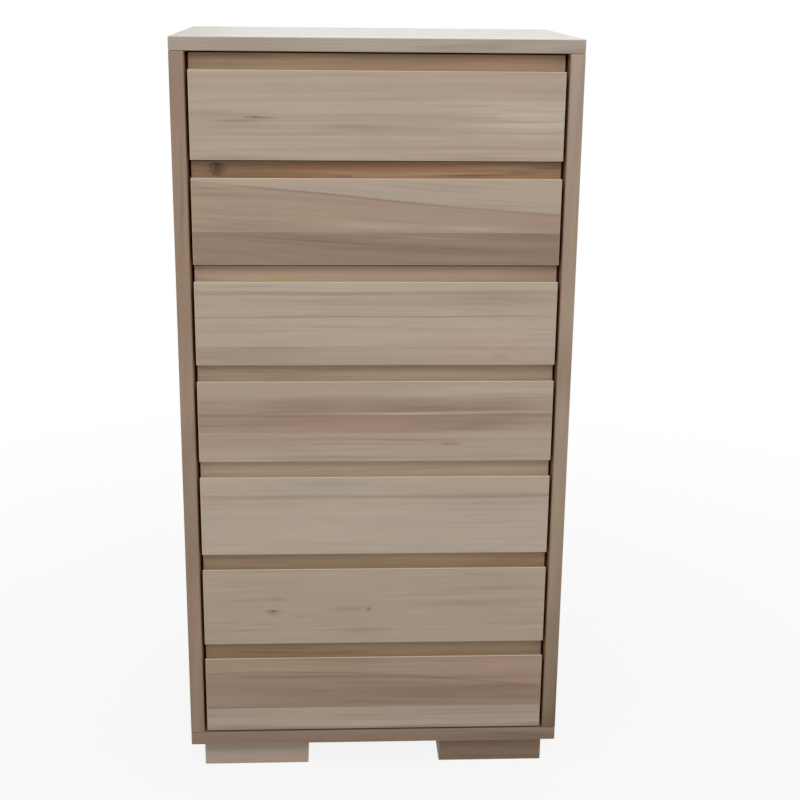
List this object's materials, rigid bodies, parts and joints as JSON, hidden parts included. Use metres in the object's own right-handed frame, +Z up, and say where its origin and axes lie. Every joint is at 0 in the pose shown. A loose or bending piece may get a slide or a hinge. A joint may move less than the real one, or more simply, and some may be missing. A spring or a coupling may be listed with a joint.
{
  "type": "semainier",
  "caption": "Tall narrow chest of drawers with plain flat faces, recessed finger-pull strips between them, flush top and bottom boards and low block feet.",
  "frame": {"origin": "on the floor, at the middle of the chest's plan", "axes": "+X to the right as seen from the front, +Y to the back, +Z up; the drawers open towards -Y"},
  "size_m": [0.6, 0.4, 1.178],
  "materials": {
    "case_timber": "sanded and unfinished pale hardwood, grey-beige with brown and green streaks",
    "face_timber": "sanded and unfinished pale hardwood boards glued edge to edge",
    "foot_timber": "sanded and unfinished hardwood",
    "box_timber": "planed and unfinished pale hardwood",
    "runner_timber": "waxed hardwood",
    "plywood": "sanded plywood"
  },
  "bodies": {
    "case": {"top_panel": "case_timber", "bottom_panel": "case_timber", "left_side": "case_timber", "right_side": "case_timber", "back_panel": "plywood", "foot_front_left": "foot_timber", "foot_front_right": "foot_timber", "foot_rear_left": "foot_timber", "foot_rear_right": "foot_timber", "runner_1_left": "runner_timber", "runner_1_right": "runner_timber", "runner_2_left": "runner_timber", "runner_2_right": "runner_timber", "runner_3_left": "runner_timber", "runner_3_right": "runner_timber", "runner_4_left": "runner_timber", "runner_4_right": "runner_timber", "runner_5_left": "runner_timber", "runner_5_right": "runner_timber", "runner_6_left": "runner_timber", "runner_6_right": "runner_timber", "runner_7_left": "runner_timber", "runner_7_right": "runner_timber"},
    "drawer_1": {"drawer_1_front": "face_timber", "drawer_1_left_side": "box_timber", "drawer_1_right_side": "box_timber", "drawer_1_back": "box_timber", "drawer_1_bottom": "plywood"},
    "drawer_2": {"drawer_2_front": "face_timber", "drawer_2_left_side": "box_timber", "drawer_2_right_side": "box_timber", "drawer_2_back": "box_timber", "drawer_2_bottom": "plywood"},
    "drawer_3": {"drawer_3_front": "face_timber", "drawer_3_left_side": "box_timber", "drawer_3_right_side": "box_timber", "drawer_3_back": "box_timber", "drawer_3_bottom": "plywood"},
    "drawer_4": {"drawer_4_front": "face_timber", "drawer_4_left_side": "box_timber", "drawer_4_right_side": "box_timber", "drawer_4_back": "box_timber", "drawer_4_bottom": "plywood"},
    "drawer_5": {"drawer_5_front": "face_timber", "drawer_5_left_side": "box_timber", "drawer_5_right_side": "box_timber", "drawer_5_back": "box_timber", "drawer_5_bottom": "plywood"},
    "drawer_6": {"drawer_6_front": "face_timber", "drawer_6_left_side": "box_timber", "drawer_6_right_side": "box_timber", "drawer_6_back": "box_timber", "drawer_6_bottom": "plywood"},
    "drawer_7": {"drawer_7_front": "face_timber", "drawer_7_left_side": "box_timber", "drawer_7_right_side": "box_timber", "drawer_7_back": "box_timber", "drawer_7_bottom": "plywood"}
  },
  "joints": [
    {"name": "drawer_1_slide", "type": "slide", "parent": "case", "child": "drawer_1", "axis": [0, -1, 0], "range_m": [0, 0.25]},
    {"name": "drawer_2_slide", "type": "slide", "parent": "case", "child": "drawer_2", "axis": [0, -1, 0], "range_m": [0, 0.25]},
    {"name": "drawer_3_slide", "type": "slide", "parent": "case", "child": "drawer_3", "axis": [0, -1, 0], "range_m": [0, 0.25]},
    {"name": "drawer_4_slide", "type": "slide", "parent": "case", "child": "drawer_4", "axis": [0, -1, 0], "range_m": [0, 0.25]},
    {"name": "drawer_5_slide", "type": "slide", "parent": "case", "child": "drawer_5", "axis": [0, -1, 0], "range_m": [0, 0.25]},
    {"name": "drawer_6_slide", "type": "slide", "parent": "case", "child": "drawer_6", "axis": [0, -1, 0], "range_m": [0, 0.25]},
    {"name": "drawer_7_slide", "type": "slide", "parent": "case", "child": "drawer_7", "axis": [0, -1, 0], "range_m": [0, 0.25]}
  ]
}
